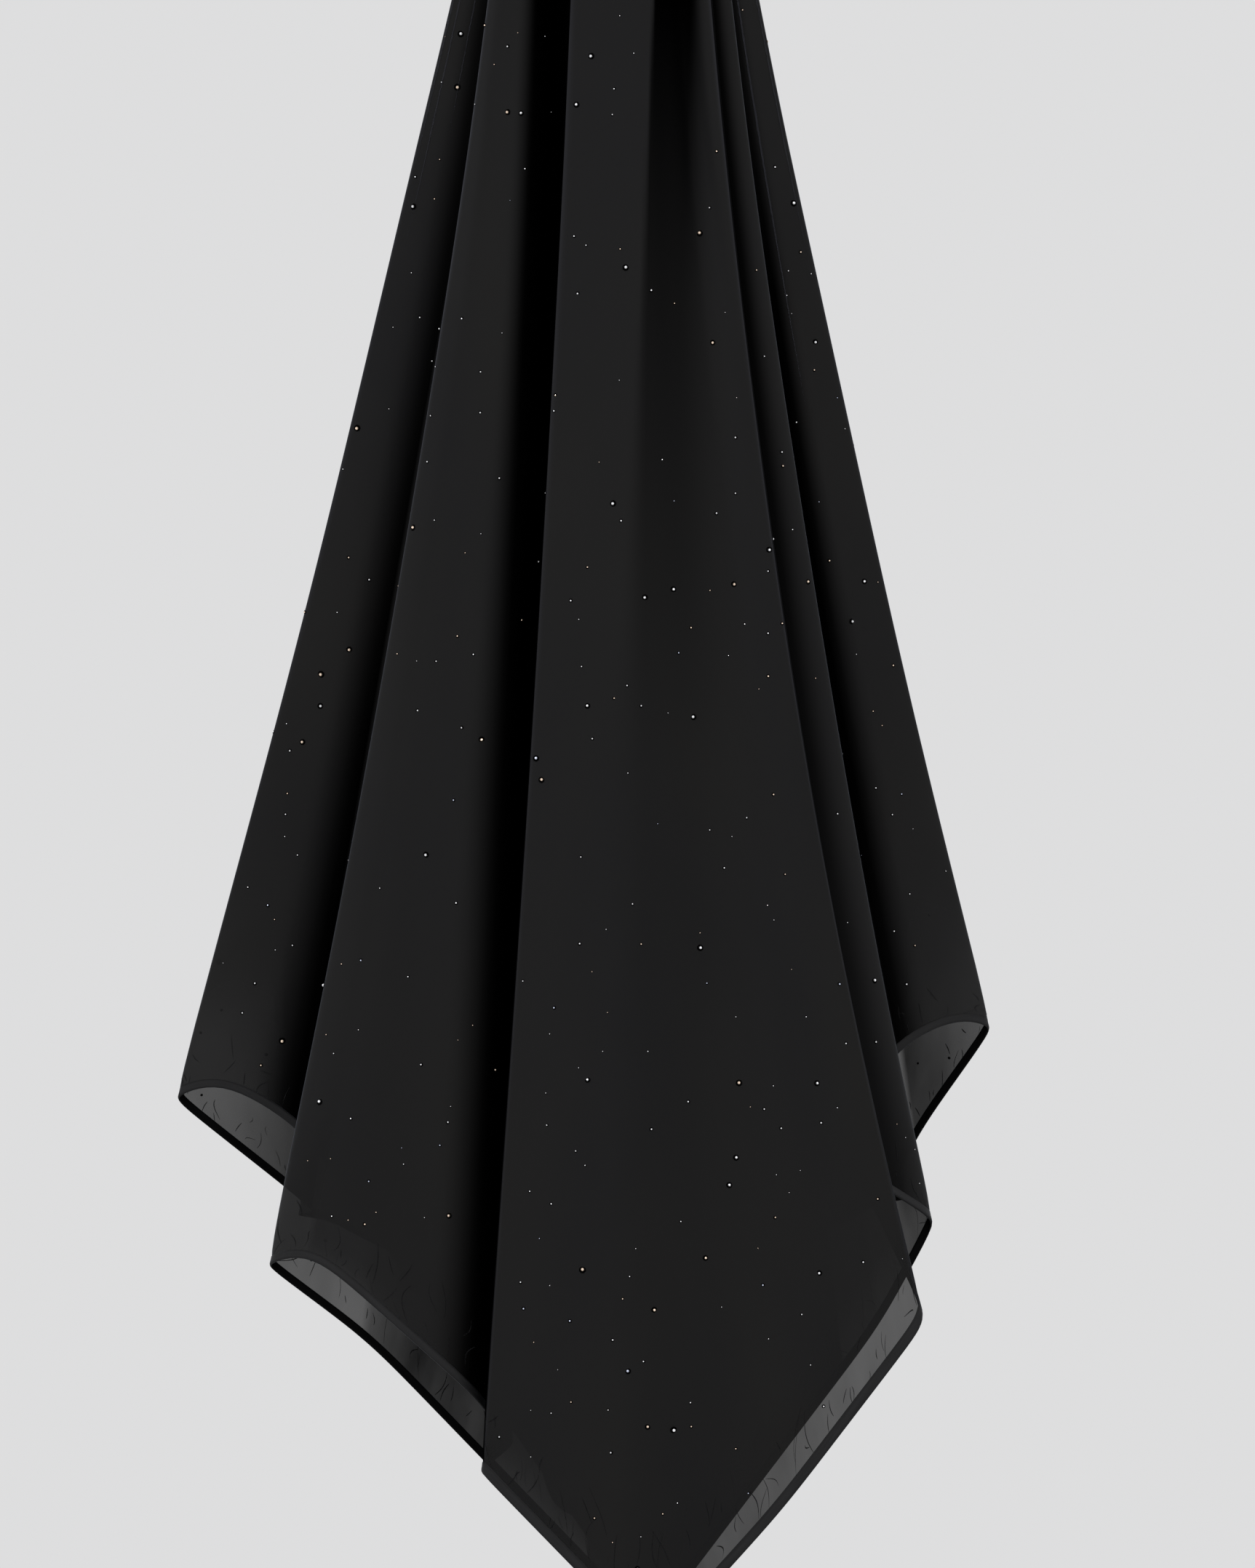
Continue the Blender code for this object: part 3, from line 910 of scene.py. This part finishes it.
def stone_piece(name, places, normal, size, sides, tints, materials, draw):
    """Faceted stones in flat black settings, whose black also paints their contact shadow: sections turned
    round each normal, closed by flat ends.
    """
    total = len(places)
    start = draw.uniform(0.0, 2.0 * np.pi, total)
    tilt = unit(normal + 0.14 * draw.standard_normal((total, 3)))
    helper = np.where(np.abs(tilt[:, 2:]) < 0.9, (0.0, 0.0, 1.0), (1.0, 0.0, 0.0))
    across = unit(np.cross(helper, tilt))
    other = np.cross(tilt, across)
    sections = np.array(SETTING_SECTION + STONE_SECTION)
    around = start[:, None] + 2.0 * np.pi * np.arange(sides) / sides
    circle = np.cos(around)[..., None] * across[:, None] + np.sin(around)[..., None] * other[:, None]
    points = places[:, None, None] + size[:, None, None, None] * (
        sections[None, :, None, :1] * circle[:, None] + sections[None, :, None, 1:] * tilt[:, None, None]
    )
    rings, first_stone = len(sections), len(SETTING_SECTION)
    base = rings * sides * np.arange(total)[:, None]
    here = np.arange(sides)
    after = (here + 1) % sides

    def band(low):
        first, second = low * sides, (low + 1) * sides
        return np.stack([first + here, first + after, second + after, second + here], axis=-1)

    bands = [band(low) for low in range(rings - 1) if low != first_stone - 1]
    dark_bands = first_stone - 1
    ends = [
        ring * sides + (here[::-1] if ring in (0, first_stone) else here)
        for ring in (0, first_stone - 1, first_stone, rings - 1)
    ]
    faces, which = [], []
    for index, quads in enumerate(bands):
        faces += (base[..., None] + quads[None]).reshape(-1, 4).tolist()
        which += [0 if index < dark_bands else 1] * (total * sides)
    for index, loop in enumerate(ends):
        faces += (base + loop[None]).tolist()
        which += [0 if index < 2 else 1] * total
    which = np.array(which, np.int32)
    of_band, of_end = np.repeat(np.arange(total), sides), np.arange(total)
    stone_of = np.concatenate([of_band] * len(bands) + [of_end] * len(ends))
    which[which == 1] += tints[stone_of[which == 1]]
    piece = add_piece(name, points.reshape(-1, 3), faces, materials, smooth=False)
    piece.data.polygons.foreach_set("material_index", which)
    return piece


# Tints of the stones: name, red, green, blue.
STONE_TINTS = (("white", 1.0, 1.0, 1.0), ("warm", 1.0, 0.80, 0.62), ("cool", 0.78, 0.84, 1.0))
TINT_SHARES = (0.66, 0.24, 0.10)


def make_stones(cut, look):
    """Large and small stones on the cloth's outer side."""
    draw = np.random.default_rng(cut.seed)
    shares = row_shares()
    grid, edges = cloth_grid(shares)
    hollow_shade, _, _ = shade_gather_and_rims(grid, edges, shares)
    places, normal = scatter(grid, hollow_shade, cut, draw)
    total = len(places)
    large = draw.random(total) < cut.large_share
    size = np.where(large, draw.uniform(0.78, 1.0, total), draw.uniform(0.24, 0.58, total)) * cut.stone_radius
    tints = draw.choice(len(STONE_TINTS), size=total, p=TINT_SHARES)
    # The settings' near black, matte and without shine, also paints the stones' contact shadows.
    black, shader, _, _ = new_material("stone_setting_shadow", look.setting_and_shadow, 0.9)
    shader.inputs["Specular IOR Level"].default_value = 0.02
    materials = [black]
    for name, *tint in STONE_TINTS:
        colour = [part * whole for part, whole in zip(tint, look.stone)]
        bright, shader, _, _ = new_material(f"stone_{name}", colour, 0.10)
        shader.inputs["Metallic"].default_value = 0.9
        # Painted light: a glow in each stone's tint that stands in for its glints.
        shader.inputs["Emission Color"].default_value = (*tint, 1.0)
        shader.inputs["Emission Strength"].default_value = look.glint_glow
        materials.append(bright)
    pieces = []
    for label, picked, sides in (("large", large, 8), ("small", ~large, 6)):
        chosen = (places[picked], normal[picked], size[picked], sides, tints[picked])
        pieces.append(stone_piece(f"stones_{label}", *chosen, materials, draw))
    return pieces


# Points along a crease, and how far the creases and the pale lines lie off the cloth, in millimetres.
CREASE_POINTS = 12
CREASE_LIFT = 0.12
LINE_LIFT = 0.30


def make_creases(cut, look):
    """Hairline creases that rise from the hem: thin tapered ribbons on both sides of the cloth.

    Each starts at a place along the hem and goes up the cloth at its own slant, bent aside by a half sine.
    """
    draw = np.random.default_rng(cut.seed + 1)
    shares = row_shares()
    grid, _ = cloth_grid(shares)
    rows, count = grid.shape[:2]
    normal = normals_of(grid)
    run = np.concatenate([[0.0], np.cumsum(np.linalg.norm(np.roll(grid[-1], -1, axis=0) - grid[-1], axis=1))])
    total = cut.creases
    start = run[-1] * (np.arange(total) + draw.uniform(-0.9, 0.9, total)) / total
    low = draw.choice([0.6, 1.0, 2.2], size=total, p=[0.35, 0.35, 0.30]) * cut.hem_width
    length = draw.uniform(0.003, 0.013, total) * draw.uniform(0.5, 1.2, total)
    slant = draw.normal(0.0, 0.55, total)
    bend = draw.normal(0.0, 0.16, total) * length
    width = draw.uniform(0.00016, 0.00042, total)
    along = np.linspace(0.0, 1.0, CREASE_POINTS)[None, :]
    up = low[:, None] + length[:, None] * along * np.cos(slant)[:, None]
    aside = length[:, None] * along * np.sin(slant)[:, None] + bend[:, None] * np.sin(np.pi * along)
    taper = 0.5 * width[:, None] * np.sin(np.pi * (0.06 + 0.88 * along)) ** 0.7

    def on_cloth(side_shift, up_shift):
        column = np.interp((start[:, None] + aside + side_shift) % run[-1], run, np.arange(count + 1))
        fine = (rows - 1) * (1.0 - (up + up_shift) / (MEAN_HEM_DROP * MM))
        row = np.clip(np.floor(fine).astype(int), 0, rows - 2)
        col = np.floor(column).astype(int) % count
        a, b = (column - np.floor(column))[..., None], (fine - row)[..., None]
        after = (col + 1) % count
        return tuple(
            (1 - b) * ((1 - a) * field[row, col] + a * field[row, after])
            + b * ((1 - a) * field[row + 1, col] + a * field[row + 1, after])
            for field in (grid, normal)
        )

    across_side = taper * np.cos(slant)[:, None]
    across_up = -taper * np.sin(slant)[:, None]
    vertices, faces = [], []
    for side in (-1.0, 1.0):
        lifted = []
        for way in (-1.0, 1.0):
            place, out = on_cloth(way * across_side, way * across_up)
            lifted.append(place + side * CREASE_LIFT * MM * unit(out))
        strip = np.stack(lifted, axis=2).reshape(-1, 3)
        along_strip = CREASE_POINTS * np.arange(total)[:, None] + np.arange(CREASE_POINTS - 1)
        base = len(vertices) * len(strip) + 2 * along_strip
        quads = np.stack([base, base + 1, base + 3, base + 2], axis=-1).reshape(-1, 4)
        vertices.append(strip)
        faces += quads.tolist()
    material, shader, _, _ = new_material("crease_black", look.crease, 0.7)
    shader.inputs["Specular IOR Level"].default_value = 0.05
    shader.inputs["Alpha"].default_value = 0.8
    return add_piece("hairline_creases", np.concatenate(vertices), faces, [material])


# Pale painted highlights of small creases that run down beside the outer folds: first and last fold of the
# face, share of the way between them, the drops in millimetres where the line starts and ends, and its width
# in millimetres.
PLEAT_HIGHLIGHTS = (
    ("right_three_rise", "right_three_face", 0.42, 40.0, 290.0, 0.80),
    ("right_three", "right_three_rise", 0.55, 60.0, 240.0, 0.45),
    ("left_two_rise", "left_two", 0.30, 60.0, 225.0, 0.50),
    ("left_two_rise", "left_two", 0.62, 70.0, 200.0, 0.45),
    ("left_two_face", "left_two_rise", 0.75, 80.0, 180.0, 0.40),
)


def make_pleat_highlights(look):
    """Pale ribbons down the cloth's outer side that paint the highlights of small creases, each a line of the
    grid as wide as a half sine along it.
    """
    shares = row_shares()
    grid, edges = cloth_grid(shares)
    normal = normals_of(grid)
    vertices, faces, made = [], [], 0
    for first, last, share, start, end, width in PLEAT_HIGHLIGHTS:
        picked = between_folds(edges, grid.shape[1], first, last)
        whole, part = divmod(share * (len(picked) - 1), 1.0)
        here, after = picked[int(whole)], picked[int(whole) + 1]
        line = (1.0 - part) * grid[:, here] + part * grid[:, after]
        drop = -line[:, 2] / MM
        rows = np.flatnonzero((drop > start) & (drop < end))
        half = 0.5 * width * MM * np.sin(np.pi * (drop[rows] - start) / (end - start))[:, None]
        across = unit(grid[rows, after] - grid[rows, here])
        lifted = line[rows] + LINE_LIFT * MM * normal[rows, here]
        vertices.append(np.stack([lifted - half * across, lifted + half * across], axis=1).reshape(-1, 3))
        base = made + 2 * np.arange(len(rows) - 1)
        faces += np.stack([base, base + 1, base + 3, base + 2], axis=-1).tolist()
        made += 2 * len(rows)
    material, shader, _, _ = new_material("pleat_highlight", look.rim_highlight, 0.7)
    shader.inputs["Specular IOR Level"].default_value = 0.05
    shader.inputs["Alpha"].default_value = 0.5
    return add_piece("pleat_highlight_lines", np.concatenate(vertices), faces, [material])


def add_light(name, place, target, size, power, colour):
    """A square soft light that faces the target."""
    data = bpy.data.lights.new(name, "AREA")
    data.shape = "SQUARE"
    data.size = size
    data.energy = power
    data.color = colour
    light = bpy.data.objects.new(name, data)
    light.location = place
    from_to = np.subtract(target, place)
    lean = math.acos(-from_to[2] / np.linalg.norm(from_to))
    heading = math.atan2(from_to[1], from_to[0]) - 0.5 * math.pi
    light.rotation_euler = (lean, 0.0, heading)
    bpy.context.scene.collection.objects.link(light)


FLOOR_HALF = 2.2


def make_stage(stage):
    """Pale floor and backdrop, soft lights and the camera, level and square to the front."""
    scene = bpy.context.scene
    scene.view_settings.view_transform = "Standard"
    world = bpy.data.worlds.new("backdrop")
    world.use_nodes = True
    world.node_tree.nodes["Background"].inputs["Color"].default_value = (*stage.backdrop, 1.0)
    world.node_tree.nodes["Background"].inputs["Strength"].default_value = 1.0
    scene.world = world

    material, _, nodes, links = new_material("floor_pale", stage.floor, 0.8)
    ways = ((-1, -1), (1, -1), (1, 1), (-1, 1))
    corners = [(x * FLOOR_HALF, y * FLOOR_HALF, -stage.floor_drop) for x, y in ways]
    floor = add_piece("floor", corners, [(0, 1, 2, 3)], [material], smooth=False)

    middle = stage.frame_centre
    add_light("soft_left", (-1.6, -2.4, 0.7), middle, 1.4, 14.0, (1.0, 1.0, 1.0))
    add_light("small_right", (1.1, -2.2, 1.2), middle, 0.35, 12.0, (1.0, 0.98, 0.95))

    data = bpy.data.cameras.new("camera")
    data.sensor_fit = "VERTICAL"
    data.lens = data.sensor_height * stage.distance / stage.frame_height
    camera = bpy.data.objects.new("camera", data)
    camera.location = (middle[0], middle[1] - stage.distance, middle[2])
    camera.rotation_euler = (0.5 * math.pi, 0.0, 0.0)
    scene.collection.objects.link(camera)
    scene.camera = camera


class HEADSCARF_OT_cloth(bpy.types.Operator):
    """Make the square of chiffon in its folds"""

    bl_idname = "headscarf.cloth"
    bl_label = "Chiffon square"

    def execute(self, context):
        piece = make_cloth(context.scene.scarf_cut, context.scene.scarf_look)
        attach(piece, BODY)
        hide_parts("cloth")
        return {"FINISHED"}


class HEADSCARF_OT_hems(bpy.types.Operator):
    """Make the rolled hem of each side"""

    bl_idname = "headscarf.hems"
    bl_label = "Rolled hems"

    def execute(self, context):
        cut, look = context.scene.scarf_cut, context.scene.scarf_look
        material = hem_material(look)
        for node, start, end in HEMS:
            piece = make_hem(node, start, end, cut, look, material)
            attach(piece, BODY)
            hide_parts(node)
        return {"FINISHED"}


class HEADSCARF_OT_stones(bpy.types.Operator):
    """Scatter the stones over the cloth's outer side"""

    bl_idname = "headscarf.stones"
    bl_label = "Stones"

    def execute(self, context):
        for piece in make_stones(context.scene.scarf_cut, context.scene.scarf_look):
            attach(piece, BODY)
        return {"FINISHED"}


class HEADSCARF_OT_creases(bpy.types.Operator):
    """Lay the hairline creases above the hem and the painted highlights of the small creases beside the outer
    folds
    """

    bl_idname = "headscarf.creases"
    bl_label = "Hairline creases"

    def execute(self, context):
        look = context.scene.scarf_look
        for piece in (make_creases(context.scene.scarf_cut, look), make_pleat_highlights(look)):
            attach(piece, BODY)
        return {"FINISHED"}


class HEADSCARF_OT_stage(bpy.types.Operator):
    """Make the floor, the backdrop, the lights and the camera"""

    bl_idname = "headscarf.stage"
    bl_label = "Stage"

    def execute(self, context):
        make_stage(context.scene.scarf_stage)
        return {"FINISHED"}


class HEADSCARF_PT_panel(bpy.types.Panel):
    """The scarf's pieces, one button each"""

    bl_label = "Headscarf"
    bl_idname = "HEADSCARF_PT_panel"
    bl_space_type = "VIEW_3D"
    bl_region_type = "UI"
    bl_category = "Headscarf"

    def draw(self, context):
        for settings in (context.scene.scarf_cut, context.scene.scarf_look, context.scene.scarf_stage):
            box = self.layout.box()
            for name in settings.__annotations__:
                box.prop(settings, name)
        for operator in OPERATORS:
            self.layout.operator(operator.bl_idname)


SETTINGS = (("scarf_cut", ScarfCut), ("scarf_look", ScarfLook), ("scarf_stage", StageLook))
OPERATORS = (
    HEADSCARF_OT_stage,
    HEADSCARF_OT_cloth,
    HEADSCARF_OT_hems,
    HEADSCARF_OT_creases,
    HEADSCARF_OT_stones,
)


def register():
    for name, group in SETTINGS:
        bpy.utils.register_class(group)
        setattr(bpy.types.Scene, name, bpy.props.PointerProperty(type=group))
    for operator in OPERATORS:
        bpy.utils.register_class(operator)
    bpy.utils.register_class(HEADSCARF_PT_panel)


def unregister():
    bpy.utils.unregister_class(HEADSCARF_PT_panel)
    for operator in reversed(OPERATORS):
        bpy.utils.unregister_class(operator)
    for name, group in reversed(SETTINGS):
        delattr(bpy.types.Scene, name)
        bpy.utils.unregister_class(group)


def main():
    register()
    bpy.ops.headscarf.stage()
    bpy.ops.headscarf.cloth()
    bpy.ops.headscarf.hems()
    bpy.ops.headscarf.creases()
    bpy.ops.headscarf.stones()


if __name__ == "__main__":
    main()
